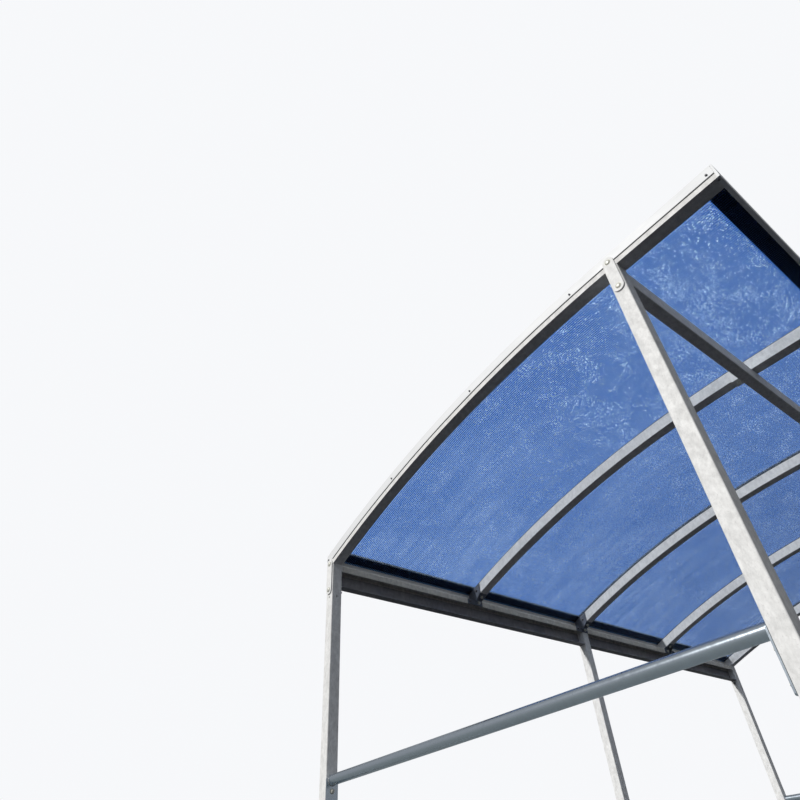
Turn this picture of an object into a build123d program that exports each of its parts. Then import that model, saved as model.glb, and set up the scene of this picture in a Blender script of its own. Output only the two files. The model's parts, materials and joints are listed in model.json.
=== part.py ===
from build123d import *
import os
from math import asin, degrees, sqrt

"""Bike shelter: five bent tube arches on six posts carry a twin-wall roof sheet.

The roof is level over the open front and then falls along one arc to the eaves at the rear.
The origin is on the ground, in the middle of the footprint. +X runs along the shelter, to the
right of someone who looks in at the open front, +Y runs to the rear and +Z points up.
"""

# Plan and height
bay_length = 1075.0
bay_count = 4
post_spacing = 2130.0
front_overhang = 485.0
total_height = 2450.0
arch_radius = 6000.0

# Square tube of the posts and arches
tube_size = 60.0
tube_wall = 3.0
tube_corner = 5.0

# Foot plates
foot_size = 150.0
foot_thickness = 10.0
foot_corner = 8.0
anchor_spacing = 100.0
anchor_radius = 7.0

# Spare holes near the top of the rear posts
spare_hole_radius = 4.5
spare_hole_drop = 60.0

# Roof sheet, the gaskets above and below it, and the folded flashings
sheet_thickness = 10.0
sheet_joint_gap = 4.0
sheet_end_gap = 4.0
gasket_thickness = 4.0
flashing_thickness = 2.0
flashing_bend = 3.0
gable_leg_height = 48.0
front_flange_width = 83.0
front_lip_width = 17.0
front_return_width = 8.0
rear_flange_width = 62.0
rear_leg_height = 24.0
drip_reach = 6.0

# Eaves channel, open to the front
channel_depth = 54.0
channel_height = 106.0
channel_lip_height = 39.0
channel_thickness = 4.0
channel_bend = 7.0

# Front purlin, a rectangular tube
purlin_width = 50.0
purlin_height = 84.0
purlin_wall = 3.0
purlin_corner = 4.0

# Side rails, a round tube between two end plates
rail_radius = 22.25
rail_wall = 2.9
rail_height = 950.0
rail_plate_width = 60.0
rail_plate_height = 160.0
rail_plate_rise = 8.0
rail_plate_thickness = 5.0
rail_bolt_spacing = 80.0

# Plates that join the gable arches to their posts
joint_plate_width = 50.0
joint_plate_length = 200.0
joint_plate_thickness = 6.0
joint_bolt_spacing = 150.0
joint_bolt_radius = 5.5
front_joint_drop = 45.0
rear_joint_drop = 71.0

# Cleats that hold the arches on the purlin and the eaves channel
cleat_thickness = 5.0
cleat_leg = 60.0
cleat_bend = 8.0
purlin_cleat_height = 50.0

# Places that follow from the sizes above
roof_build_up = 2 * gasket_thickness + sheet_thickness + flashing_thickness
tube_top = total_height - roof_build_up
arch_centre_z = tube_top - arch_radius
depth = front_overhang + post_spacing + foot_size / 2
front_edge_y = -depth / 2
front_post_y = front_edge_y + front_overhang
rear_post_y = front_post_y + post_spacing
rear_end_y = rear_post_y + tube_size / 2
arch_start_y = front_edge_y + flashing_thickness + 1.0
frame_length = bay_length * bay_count
arch_places = [bay_length * index - frame_length / 2 for index in range(bay_count + 1)]
gable_x = frame_length / 2 + tube_size / 2
middle_x = arch_places[bay_count // 2]
post_names = {arch_places[0]: "left", middle_x: "middle", arch_places[-1]: "right"}

# Layers of the roof, measured from the top face of the arch tubes
arch_underside = -tube_size
sheet_underside = gasket_thickness
sheet_top = sheet_underside + sheet_thickness
flashing_underside = sheet_top + gasket_thickness
flashing_top = flashing_underside + flashing_thickness


def roof_height(layer, y):
    """Height of a layer of the roof above the ground at a place from front to rear."""
    if y <= front_post_y:
        return tube_top + layer
    return arch_centre_z + sqrt((arch_radius + layer) ** 2 - (y - front_post_y) ** 2)


def roof_band(lower, upper, start, end):
    """Side view of the strip between two layers of the roof, cut plumb at both ends."""

    def sweep_angle(layer, y):
        return degrees(asin(max(y - front_post_y, 0.0) / (arch_radius + layer)))

    bend_start = max(start, front_post_y)
    with BuildSketch(Plane.YZ) as band:
        with BuildLine():
            for layer in (lower, upper):
                if start < front_post_y:
                    level = tube_top + layer
                    Line((start, level), (min(front_post_y, end), level))
                if end > bend_start:
                    first = 90 - sweep_angle(layer, start)
                    turn = sweep_angle(layer, start) - sweep_angle(layer, end)
                    CenterArc((front_post_y, arch_centre_z), arch_radius + layer, first, turn)
            for y in (start, end):
                Line((y, roof_height(lower, y)), (y, roof_height(upper, y)))
        make_face()
    return band.sketch


def folded_section(points, thickness, side, bend):
    """Side view of a folded strip: a bent line with the metal on one side of it."""
    with BuildSketch(Plane.YZ) as section:
        with BuildLine():
            FilletPolyline(*points, radius=bend)
            offset(amount=thickness, side=side)
        make_face()
    return section.sketch


def save(part, name):
    """Label a finished piece and write its file."""
    part.label = name
    export_step(part, f"parts/{name}.step")


def along_x(start, end):
    """Where a side view is drawn and how far it is drawn out."""
    return Location((start, 0, 0)), end - start


def make_foot_plate(x, y, name):
    """Square base plate with four anchor holes."""
    with BuildPart() as foot_plate:
        with BuildSketch(Plane((x, y, 0))):
            RectangleRounded(foot_size, foot_size, foot_corner)
            with GridLocations(anchor_spacing, anchor_spacing, 2, 2):
                Circle(anchor_radius, mode=Mode.SUBTRACT)
        extrude(amount=foot_thickness)
    save(foot_plate.part, name)


def make_post(x, y, name, has_spare_holes):
    """Square tube post whose top is cut to the underside of its arch."""
    inside = tube_size - 2 * tube_wall
    with BuildPart() as post:
        with BuildSketch(Plane((x, y, foot_thickness))):
            RectangleRounded(tube_size, tube_size, tube_corner)
            RectangleRounded(inside, inside, tube_corner - tube_wall, mode=Mode.SUBTRACT)
        extrude(amount=total_height)
        place, reach = along_x(x - tube_size, x + tube_size)
        above = roof_band(arch_underside, 2 * total_height, y - tube_size, y + tube_size)
        extrude(place * above, amount=reach, mode=Mode.SUBTRACT)
        if has_spare_holes:
            hole_z = channel_bottom - spare_hole_drop
            front_face = Plane((x, y - tube_size / 2, hole_z), z_dir=(0, -1, 0))
            side_face = Plane((x - tube_size / 2, y, hole_z), z_dir=(-1, 0, 0))
            with Locations(front_face, side_face):
                Hole(spare_hole_radius, depth=tube_size)
    save(post.part, name)


def make_arch(x, name):
    """Hollow square tube: level over the overhang, then bent along the roof's arc."""
    with BuildPart() as arch:
        place, reach = along_x(x - tube_size / 2, x + tube_size / 2)
        extrude(place * roof_band(arch_underside, 0, arch_start_y, rear_end_y), amount=reach)
        place, reach = along_x(x - tube_size / 2 + tube_wall, x + tube_size / 2 - tube_wall)
        bore = roof_band(arch_underside + tube_wall, -tube_wall, arch_start_y - 1, rear_end_y + 1)
        extrude(place * bore, amount=reach, mode=Mode.SUBTRACT)
    save(arch.part, name)


# The eaves channel's corners, from the front of its foot round to its lip
channel_front_y = rear_post_y - tube_size / 2
channel_rear_y = channel_front_y + channel_depth
channel_rear_z = roof_height(arch_underside, channel_rear_y)
channel_front_z = roof_height(arch_underside, channel_front_y)
channel_bottom = channel_rear_z - channel_height
channel_corners = [
    (channel_front_y, channel_bottom),
    (channel_rear_y, channel_bottom),
    (channel_rear_y, channel_rear_z),
    (channel_front_y, channel_front_z),
    (channel_front_y, channel_front_z - channel_lip_height),
]


def make_eaves_channel(start, end, name):
    """Folded channel between two rear posts, open to the front with a deep upper lip."""
    with BuildPart() as channel:
        place, reach = along_x(start, end)
        section = folded_section(channel_corners, channel_thickness, Side.LEFT, channel_bend)
        extrude(place * section, amount=reach)
    save(channel.part, name)


def make_purlin(start, end, name):
    """Rectangular tube between two front posts, right under the arches."""
    purlin_top = roof_height(arch_underside, front_post_y + purlin_width / 2)
    middle = Plane((start, front_post_y, purlin_top - purlin_height / 2), x_dir=(0, 1, 0), z_dir=(1, 0, 0))
    inner_width = purlin_width - 2 * purlin_wall
    inner_height = purlin_height - 2 * purlin_wall
    with BuildPart() as purlin:
        with BuildSketch(middle):
            RectangleRounded(purlin_width, purlin_height, purlin_corner)
            RectangleRounded(inner_width, inner_height, purlin_corner - purlin_wall, mode=Mode.SUBTRACT)
        extrude(amount=end - start)
    save(purlin.part, name)


def make_eaves_cleat(x, name):
    """Folded plate on the channel's lip that carries the lower end of an arch."""
    slope_y = channel_front_y - cleat_leg
    corners = [
        (channel_front_y, channel_front_z - channel_lip_height),
        (channel_front_y, channel_front_z),
        (slope_y, roof_height(arch_underside, slope_y)),
    ]
    with BuildPart() as cleat:
        place, reach = along_x(x - tube_size / 2, x + tube_size / 2)
        section = folded_section(corners, cleat_thickness, Side.LEFT, cleat_bend)
        extrude(place * section, amount=reach)
    save(cleat.part, name)


def make_purlin_cleat(x, support_y, name):
    """Folded plate behind the purlin, or a post, that holds an arch down."""
    top_z = roof_height(arch_underside, support_y + cleat_leg)
    corners = [
        (support_y + cleat_leg, top_z),
        (support_y, top_z),
        (support_y, top_z - purlin_cleat_height),
    ]
    with BuildPart() as cleat:
        place, reach = along_x(x - tube_size / 2, x + tube_size / 2)
        section = folded_section(corners, cleat_thickness, Side.LEFT, cleat_bend)
        extrude(place * section, amount=reach)
    save(cleat.part, name)


def make_joint_plate(side, y, upper_bolt_z, name):
    """Round-ended plate with two bolt holes, over an arch and its post."""
    centre_z = upper_bolt_z - joint_bolt_spacing / 2
    face = Plane((side * gable_x, y, centre_z), x_dir=(0, 0, 1), z_dir=(side, 0, 0))
    with BuildPart() as joint_plate:
        with BuildSketch(face):
            SlotOverall(joint_plate_length, joint_plate_width)
            with GridLocations(joint_bolt_spacing, 0, 2, 1):
                Circle(joint_bolt_radius, mode=Mode.SUBTRACT)
        extrude(amount=joint_plate_thickness)
    save(joint_plate.part, name)


def make_side_rail(x, name):
    """Round tube between two posts of a gable, each end on a plate that hangs down from it."""
    front_face = front_post_y + tube_size / 2
    rear_face = rear_post_y - tube_size / 2
    plate_middle_z = rail_height + rail_plate_rise - rail_plate_height / 2
    bolts_middle_z = plate_middle_z - rail_radius / 2
    with BuildPart() as side_rail:
        for y, direction in ((front_face, 1), (rear_face, -1)):
            with BuildSketch(Plane((x, y, plate_middle_z), x_dir=(0, 0, 1), z_dir=(0, direction, 0))):
                RectangleRounded(rail_plate_height, rail_plate_width, tube_corner)
                with Locations((bolts_middle_z - plate_middle_z, 0)):
                    with GridLocations(rail_bolt_spacing, 0, 2, 1):
                        Circle(joint_bolt_radius, mode=Mode.SUBTRACT)
            extrude(amount=rail_plate_thickness)
        with BuildSketch(Plane((x, front_face, rail_height), x_dir=(1, 0, 0), z_dir=(0, 1, 0))):
            Circle(rail_radius)
        extrude(amount=rear_face - front_face)
        with BuildSketch(Plane((x, front_face + rail_plate_thickness, rail_height), z_dir=(0, 1, 0))):
            Circle(rail_radius - rail_wall)
        extrude(amount=rear_face - front_face - 2 * rail_plate_thickness, mode=Mode.SUBTRACT)
    save(side_rail.part, name)


def make_gable_flashing(side, joint_plate_places, name):
    """Folded angle over the sheet's edge, notched round the joint plates."""
    start = front_edge_y + flashing_thickness
    leg_start = front_edge_y + front_return_width + 0.5
    face_x = side * gable_x
    with BuildPart() as flashing:
        leg = roof_band(flashing_top - gable_leg_height, flashing_top, leg_start, rear_end_y)
        extrude(Location((face_x, 0, 0)) * leg, amount=side * flashing_thickness)
        top = roof_band(flashing_underside, flashing_top, start, rear_end_y)
        extrude(Location((face_x, 0, 0)) * top, amount=-side * tube_size)
        for y, upper_bolt_z in joint_plate_places:
            centre_z = upper_bolt_z - joint_bolt_spacing / 2
            with BuildSketch(Plane((face_x, y, centre_z), x_dir=(0, 0, 1), z_dir=(side, 0, 0))):
                SlotOverall(joint_plate_length + 1.0, joint_plate_width + 1.0)
            extrude(amount=flashing_thickness, mode=Mode.SUBTRACT)
    save(flashing.part, name)


def make_front_flashing(name):
    """Folded channel over the front edge: a flange on the sheet, a lip under the arches, closed ends."""
    lip_z = tube_top + arch_underside - flashing_thickness
    outer_x = gable_x + flashing_thickness
    inner_x = gable_x - tube_size
    with BuildPart() as flashing:
        lip_and_web = [
            (front_edge_y + front_lip_width, lip_z),
            (front_edge_y, lip_z),
            (front_edge_y, total_height),
        ]
        section = folded_section(lip_and_web, flashing_thickness, Side.RIGHT, flashing_bend)
        place, reach = along_x(-outer_x, outer_x)
        extrude(place * section, amount=reach)
        web_and_flange = [
            (front_edge_y, total_height - front_lip_width),
            (front_edge_y, total_height),
            (front_edge_y + front_flange_width, total_height),
        ]
        section = folded_section(web_and_flange, flashing_thickness, Side.RIGHT, flashing_bend)
        place, reach = along_x(-inner_x, inner_x)
        extrude(place * section, amount=reach)
        for side in (-1, 1):
            end_face = Plane((side * gable_x, front_edge_y, lip_z), x_dir=(0, 1, 0), z_dir=(side, 0, 0))
            with BuildSketch(end_face):
                Rectangle(
                    front_return_width,
                    total_height - lip_z,
                    align=(Align.MIN, Align.MIN if side > 0 else Align.MAX),
                )
            extrude(amount=flashing_thickness)
    save(flashing.part, name)


def make_rear_flashing(name):
    """Folded eaves strip: a flange on the sheet, a leg behind it and a drip edge."""
    inner_x = gable_x - tube_size
    flange_start = rear_end_y - rear_flange_width
    leg_top = roof_height(flashing_top, rear_end_y)
    outer_y = rear_end_y + flashing_thickness
    leg_bottom = leg_top - rear_leg_height
    with BuildPart() as flashing:
        place, reach = along_x(-inner_x, inner_x)
        flange = roof_band(flashing_underside, flashing_top, flange_start, rear_end_y)
        extrude(place * flange, amount=reach)
        outer_x = gable_x + flashing_thickness
        leg_and_drip = [
            (outer_y, leg_top),
            (outer_y, leg_bottom),
            (outer_y + drip_reach, leg_bottom - drip_reach),
        ]
        section = folded_section(leg_and_drip, flashing_thickness, Side.RIGHT, flashing_bend)
        place, reach = along_x(-outer_x, outer_x)
        extrude(place * section, amount=reach)
    save(flashing.part, name)


sheet_start_y = front_edge_y + flashing_thickness + sheet_end_gap
sheet_end_y = rear_end_y - sheet_end_gap


def make_roof_sheet(start, end, name):
    """Clear twin-wall sheet that lies on the arches and takes their curve."""
    with BuildPart() as sheet:
        place, reach = along_x(start, end)
        extrude(place * roof_band(sheet_underside, sheet_top, sheet_start_y, sheet_end_y), amount=reach)
    save(sheet.part, name)


def make_lower_gaskets(name):
    """Rubber strip between each arch and the sheet."""
    strip = roof_band(0, sheet_underside, sheet_start_y, sheet_end_y)
    with BuildPart() as gaskets:
        for x in arch_places:
            place, reach = along_x(x - tube_size / 2, x + tube_size / 2)
            extrude(place * strip, amount=reach)
    save(gaskets.part, name)


def make_upper_gasket(name):
    """Rubber frame between the sheets and all that is fixed down on them."""
    with BuildPart() as gasket:
        place, reach = along_x(-gable_x, gable_x)
        extrude(place * roof_band(sheet_top, flashing_underside, sheet_start_y, sheet_end_y), amount=reach)
        window_start = front_edge_y + front_flange_width
        window_end = rear_end_y - rear_flange_width
        window = roof_band(sheet_underside, flashing_top, window_start, window_end)
        for start, end in (
            (-gable_x + tube_size, middle_x - tube_size / 2),
            (middle_x + tube_size / 2, gable_x - tube_size),
        ):
            place, reach = along_x(start, end)
            extrude(place * window, amount=reach, mode=Mode.SUBTRACT)
    save(gasket.part, name)


def make_joint_strip(name):
    """Flat strip over the gap between the two sheets."""
    start = front_edge_y + front_flange_width
    end = rear_end_y - rear_flange_width
    with BuildPart() as strip:
        place, reach = along_x(middle_x - tube_size / 2, middle_x + tube_size / 2)
        extrude(place * roof_band(flashing_underside, flashing_top, start, end), amount=reach)
    save(strip.part, name)


os.makedirs("parts", exist_ok=True)

# Posts on their foot plates
for place_x, place_name in post_names.items():
    for place_y, row in ((front_post_y, "front"), (rear_post_y, "rear")):
        make_foot_plate(place_x, place_y, f"{row}_foot_plate_{place_name}")
        make_post(place_x, place_y, f"{row}_post_{place_name}", row == "rear")

# Arches
arch_names = ["gable_arch_left", "inner_arch_left", "middle_arch", "inner_arch_right", "gable_arch_right"]
for arch_x, arch_name in zip(arch_places, arch_names):
    make_arch(arch_x, arch_name)

# Eaves channels and purlins, one for each pair of posts
half_post = tube_size / 2
spans = [
    (arch_places[0] + half_post, middle_x - half_post, "left"),
    (middle_x + half_post, arch_places[-1] - half_post, "right"),
]
for span_start, span_end, span_name in spans:
    make_eaves_channel(span_start, span_end, f"eaves_channel_{span_name}")
    make_purlin(span_start, span_end, f"front_purlin_{span_name}")

# Cleats under the arches that stand clear of the gables
cleat_names = ["left", "middle", "right"]
for cleat_x, cleat_name in zip(arch_places[1:-1], cleat_names):
    half_support = half_post if cleat_x == middle_x else purlin_width / 2
    make_eaves_cleat(cleat_x, f"eaves_cleat_{cleat_name}")
    make_purlin_cleat(cleat_x, front_post_y + half_support, f"purlin_cleat_{cleat_name}")

# Joint plates, rails and flashings of the two gables
front_joint = (front_post_y, roof_height(flashing_top, front_post_y) - front_joint_drop)
rear_joint = (rear_post_y, roof_height(flashing_top, rear_post_y) - rear_joint_drop)
for gable_side, gable_name in ((-1, "left"), (1, "right")):
    make_joint_plate(gable_side, *front_joint, f"front_joint_plate_{gable_name}")
    make_joint_plate(gable_side, *rear_joint, f"rear_joint_plate_{gable_name}")
    make_gable_flashing(gable_side, (front_joint, rear_joint), f"gable_flashing_{gable_name}")
    make_side_rail(gable_side * frame_length / 2, f"side_rail_{gable_name}")

# Sheets, gaskets and the flashings along the front and rear edges
make_roof_sheet(-gable_x, middle_x - sheet_joint_gap / 2, "roof_sheet_left")
make_roof_sheet(middle_x + sheet_joint_gap / 2, gable_x, "roof_sheet_right")
make_lower_gaskets("lower_gaskets")
make_upper_gasket("upper_gasket")
make_joint_strip("sheet_joint_strip")
make_front_flashing("front_edge_flashing")
make_rear_flashing("rear_edge_flashing")
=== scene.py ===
import json
import math

import bmesh
import bpy
from bpy.props import FloatProperty, FloatVectorProperty, IntProperty, PointerProperty
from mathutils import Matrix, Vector


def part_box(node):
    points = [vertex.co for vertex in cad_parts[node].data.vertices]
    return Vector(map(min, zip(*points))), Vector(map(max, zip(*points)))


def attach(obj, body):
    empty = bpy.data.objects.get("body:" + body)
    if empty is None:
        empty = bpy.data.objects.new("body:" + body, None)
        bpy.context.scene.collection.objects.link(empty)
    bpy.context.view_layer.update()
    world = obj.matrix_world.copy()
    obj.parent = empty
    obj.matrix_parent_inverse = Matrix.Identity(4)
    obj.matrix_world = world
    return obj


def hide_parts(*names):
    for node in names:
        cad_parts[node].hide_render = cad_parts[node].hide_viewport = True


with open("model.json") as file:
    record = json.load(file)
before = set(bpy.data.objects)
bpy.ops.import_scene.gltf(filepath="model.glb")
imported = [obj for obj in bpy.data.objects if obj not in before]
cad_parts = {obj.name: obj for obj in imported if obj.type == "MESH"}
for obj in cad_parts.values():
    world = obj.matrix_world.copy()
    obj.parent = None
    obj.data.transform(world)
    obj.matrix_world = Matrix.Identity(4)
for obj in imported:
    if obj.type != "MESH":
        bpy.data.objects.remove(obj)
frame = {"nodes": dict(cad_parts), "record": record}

bl_info = {
    "name": "Bike Shelter",
    "version": (1, 0, 0),
    "blender": (4, 5, 0),
    "location": "View3D > Sidebar > Shelter",
    "description": "Gives the frame of a bike shelter its roof, fasteners, welds and finishes",
    "category": "Object",
}

SIDES = {"left": -1, "right": 1}
ROWS = ("front", "rear")
POST_PLACES = ("left", "middle", "right")
ARCHES = (
    "gable_arch_left", "inner_arch_left", "middle_arch", "inner_arch_right", "gable_arch_right")
# For the bracket at each arch: its cleat, and the side that it reaches out to.
BRACKETS = {
    "inner_arch_left": ("eaves_cleat_left", -1),
    "middle_arch": ("eaves_cleat_middle", -1),
    "inner_arch_right": ("eaves_cleat_right", 1),
}
FINISHES = {
    "post_steel": "post_zinc", "arch_steel": "arch_zinc", "beam_steel": "beam_zinc",
    "plate_steel": "plate_zinc", "rail_steel": "rail_zinc", "flashing_steel": "bright_sheet",
    "gasket_rubber": "black_rubber", "clear_sheet": "clear_upper_skin"}
EVEN = (1, 1, 1)
FASTENER_SIZES = {
    "Washer Radius": 0.01, "Washer Thickness": 0.002, "Head Radius": 0.008,
    "Head Height": 0.006, "End Radius": 0.004, "End Length": 0.008}


def middle_of(node):
    """Centre of a node's box."""
    low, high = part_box(node)
    return (low + high) / 2


class Roof:
    """The roof's side view, worked out from the boxes of the frame: level, and then one arc."""

    low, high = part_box("gable_arch_left")
    tube = high.x - low.x
    gable_x = -low.x
    tube_top = high.z
    front_edge_y, front_flange_y = (corner.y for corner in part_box("front_edge_flashing"))
    rear_flange_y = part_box("rear_edge_flashing")[0].y
    front_post_y = middle_of("front_post_left").y
    rear_end_y = high.y
    reach = rear_end_y - front_post_y
    fall = high.z - low.z
    radius = (fall**2 - tube**2 + reach**2) / (2 * (fall - tube))
    gasket_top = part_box("lower_gaskets")[1].z - tube_top
    sheet_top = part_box("roof_sheet_left")[1].z - tube_top
    flashing_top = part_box("gable_flashing_left")[1].z - tube_top

    @classmethod
    def height(cls, layer, y):
        """Height above the ground of a layer, measured from the top face of the arch tubes."""
        if y <= cls.front_post_y:
            return cls.tube_top + layer
        run = y - cls.front_post_y
        return cls.tube_top - cls.radius + math.sqrt((cls.radius + layer) ** 2 - run**2)

    @classmethod
    def normal(cls, y):
        """Direction square to the roof, upwards."""
        lean = max(0.0, y - cls.front_post_y) / cls.radius
        return Vector((0, lean, math.sqrt(1 - lean**2)))

    @classmethod
    def stations(cls, start, end, steps):
        """Places from front to rear at which a strip that follows the roof gets its corners."""
        if end <= cls.front_post_y:
            return [start, end]
        bend = max(start, cls.front_post_y)
        places = [start] if start < cls.front_post_y else []
        return places + [bend + (end - bend) * step / steps for step in range(steps + 1)]


def length(name, description, default, smallest):
    """A length that the panel shows in the scene's unit."""
    return FloatProperty(
        name=name, description=description, default=default, min=smallest, unit="LENGTH")


def swatch(name, description, default):
    """A colour that the panel shows as a swatch."""
    return FloatVectorProperty(
        name=name, description=description, default=default, subtype="COLOR", min=0, max=1)


class ShelterRoofSizes(bpy.types.PropertyGroup):
    """Sizes of the twin-wall sheet and the strips that seal it."""

    rib_pitch: length("Rib Pitch", "Distance between the ribs of the sheet", 0.0109, 0.005)
    rib_thickness: length(
        "Rib Thickness", "Thickness of the ribs between the skins", 0.0006, 0.0002)
    skin_thickness: length("Skin Thickness", "Thickness of each skin of the sheet", 0.0007, 0.0002)
    curve_steps: IntProperty(
        name="Curve Steps", description="Straight steps that make up the roof's arc",
        default=28, min=8, max=96)
    # The black strip is partly a real seal and partly painted shadow, for the shadow gap under the
    # flashing's leg.
    seal_and_shadow_height: length(
        "Seal Height", "Height of the black strip that shows under the gable flashing",
        0.0032, 0.001)
    seal_and_shadow_thickness: length(
        "Seal Thickness", "How far that strip stands out from the arch", 0.0019, 0.0005)
    bracket_reach: length(
        "Bracket Reach", "How far the eaves brackets reach out beside the arches", 0.064, 0.02)
    bracket_thickness: length("Bracket Thickness", "Thickness of the eaves brackets", 0.005, 0.002)


class ShelterFastenerSizes(bpy.types.PropertyGroup):
    """Sizes of the bolts, screws and welds, and how far apart the screws sit."""

    dome_radius: length(
        "Dome Radius", "Radius of the domed heads on the joint plates", 0.0125, 0.004)
    dome_height: length("Dome Height", "Height of those heads over their washers", 0.0050, 0.002)
    dome_washer_radius: length(
        "Dome Washer Radius", "Radius of the washers under the domed heads", 0.0140, 0.005)
    bolt_radius: length("Bolt Radius", "Radius of the bolts' threaded ends", 0.0050, 0.002)
    nut_radius: length(
        "Nut Radius", "Radius over the corners of the nuts and hexagon heads", 0.0092, 0.003)
    nut_height: length("Nut Height", "Height of the nuts and hexagon heads", 0.0080, 0.002)
    washer_thickness: length("Washer Thickness", "Thickness of all washers", 0.0018, 0.0005)
    screw_radius: length(
        "Screw Radius", "Radius over the corners of the screws' heads", 0.0046, 0.002)
    screw_end: length("Screw End", "How far a screw's tip stands out of its head", 0.0006, 0.0001)
    screw_washer_radius: length(
        "Screw Washer Radius", "Radius of the sealing washers", 0.0072, 0.003)
    screw_spacing: length(
        "Screw Spacing", "Distance between the screws along a flashing or an arch", 0.656, 0.1)
    screw_drop: length(
        "Screw Drop", "Distance of a gable flashing's screws below its top", 0.034, 0.01)
    lip_screw_inset: length(
        "Lip Screw Inset", "Distance of the front lip's screws from the roof's edges",
        0.012, 0.004)
    plate_thickness: length(
        "Plate Thickness", "Thickness of the cleats and of the rails' end plates", 0.005, 0.002)
    rail_bolt_edge: length(
        "Rail Bolt Edge", "Distance of a rail's lower bolts from the foot of its end plates",
        0.0289, 0.01)
    rail_bolt_spacing: length(
        "Rail Bolt Spacing", "Distance between the two bolts of an end plate", 0.080, 0.02)
    rail_radius: length("Rail Radius", "Radius of the side rails' tube", 0.02225, 0.01)
    weld_radius: length("Weld Radius", "Half the width of a weld bead", 0.0028, 0.001)


class ShelterFinishes(bpy.types.PropertyGroup):
    """Colours of the finishes."""

    zinc: swatch("Zinc", "Galvanised posts", (0.86, 0.86, 0.85))
    arch_zinc: swatch("Arch Zinc", "Galvanised arches, a little duller", (0.83, 0.825, 0.81))
    # The darker insides are painted shade, multiplied into this colour below the lip.
    dull_zinc: swatch(
        "Dull Zinc", "Lips of the galvanised eaves channels; their insides are darker",
        (0.70, 0.675, 0.61))
    bright_sheet: swatch("Bright Sheet", "Folded flashings", (0.79, 0.80, 0.81))
    # The rail's blue cast is a painted reflection of the sky.
    rail_zinc: swatch("Rail Zinc", "Smooth bright tube of the side rails", (0.50, 0.56, 0.62))
    # The sheet's blue tint stands in for the sky seen through the clear sheet: painted sky light.
    sheet_sky_tint: swatch(
        "Sheet Tint", "What each face of the clear sheet lets through", (0.475, 0.64, 0.885))
    sheet_haze: swatch(
        "Sheet Haze", "The milky film, the scratches and the drops on the sheet",
        (0.72, 0.80, 0.92))
    rubber: swatch("Rubber", "Gaskets and sealing strips", (0.024, 0.026, 0.030))


class ShelterStage(bpy.types.PropertyGroup):
    """Camera, light and floor."""

    camera_place: FloatVectorProperty(
        name="Camera Place", description="Where the camera stands",
        default=(-3.7433, -1.4193, 0.4979), subtype="TRANSLATION", unit="LENGTH")
    camera_turn: FloatVectorProperty(
        name="Camera Turn", description="Rotation of the camera about X, Y and Z",
        default=[math.radians(angle) for angle in (131.133, 3.940, -37.786)], subtype="EULER")
    lens: FloatProperty(
        name="Lens", description="Focal length on a 36 mm wide sensor",
        default=26.03, min=5, unit="CAMERA")
    shift: FloatVectorProperty(
        name="Shift", description="Lens shift sideways and upwards, as a share of the picture",
        size=2, default=(-0.0262, 0.0010))
    sun_from: FloatVectorProperty(
        name="Light From", description="Direction that the main light comes from",
        default=(-0.84, 0.16, 0.50), subtype="DIRECTION")
    sun_strength: FloatProperty(
        name="Light Strength", description="Strength of the main light", default=3.0, min=0)
    sky_strength: FloatProperty(
        name="Fill Strength", description="Strength of the light from all round",
        default=0.37, min=0)


# Nodes, for materials and for geometry


def feed(tree, socket, value):
    """Links an input to another node's output, or sets its value; a colour gets its alpha."""
    if isinstance(value, bpy.types.NodeSocket):
        tree.links.new(value, socket)
    elif socket.type == "RGBA":
        socket.default_value = (*value, 1)
    else:
        socket.default_value = value


def add_node(tree, kind, inputs=(), output=0, **attributes):
    """Adds a node, feeds its inputs and returns an output. Plain kinds are shader nodes."""
    node = tree.nodes.new(kind if "Node" in kind else f"ShaderNode{kind}")
    for label, value in attributes.items():
        setattr(node, label, value)
    for place, source in dict(inputs).items():
        for value in source if isinstance(source, list) else [source]:
            feed(tree, node.inputs[place], value)
    return node.outputs[output]


def calculate(tree, operation, first, second=0.0, clamp=False):
    """A calculation with one or two values, either of which may be another node's output."""
    return add_node(tree, "Math", {0: first, 1: second}, operation=operation, use_clamp=clamp)


def product(tree, *values):
    """The product of two or more values."""
    total = values[0]
    for value in values[1:]:
        total = calculate(tree, "MULTIPLY", total, value)
    return total


# Materials


def new_material(name, colour, metallic, roughness, **values):
    """Makes a material; returns its node tree and its Principled shader's inputs."""
    material = bpy.data.materials.new(name)
    material.use_nodes = True
    tree = material.node_tree
    shader = tree.nodes["Principled BSDF"].inputs
    values.update(Base_Color=colour, Metallic=metallic, Roughness=roughness)
    for label, value in values.items():
        feed(tree, shader[label.replace("_", " ")], value)
    return tree, shader


def pattern(tree, kind, scale, stretch=EVEN, **inputs):
    """A noise or cell texture on Object coordinates; returns the output with its value."""
    place = add_node(tree, "TexCoord", output="Object")
    inputs["Vector"] = add_node(tree, "Mapping", {"Vector": place, "Scale": stretch})
    inputs["Scale"] = scale
    return add_node(tree, f"Tex{kind}", inputs, "Fac" if kind == "Noise" else "Color")


def coordinates(tree):
    """The Object coordinates X, Y and Z."""
    place = add_node(tree, "TexCoord", output="Object")
    return add_node(tree, "SeparateXYZ", {"Vector": place}).node.outputs


def spread(tree, value, low, high, to_low, to_high):
    """Maps a pattern's value from one range to another."""
    return add_node(tree, "MapRange", {
        "Value": value, "From Min": low, "From Max": high, "To Min": to_low, "To Max": to_high})


def noise(tree, scale, stretch, low, high, to_low, to_high, **inputs):
    """A noise texture with its values mapped from one range to another."""
    texture = pattern(tree, "Noise", scale, stretch, **inputs)
    return spread(tree, texture, low, high, to_low, to_high)


def blend_colours(tree, factor, first, second, mode="MIX"):
    """Mixes two colours; the node's colour inputs are its numbers 6 and 7, its colour output 2."""
    return add_node(
        tree, "Mix", {0: factor, 6: first, 7: second}, 2,
        data_type="RGBA", blend_type=mode)


def mix_shaders(tree, factor, first, second):
    """Mixes two shaders; the factor is a value or another node's output."""
    return add_node(tree, "MixShader", {0: factor, 1: first, 2: second})


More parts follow.
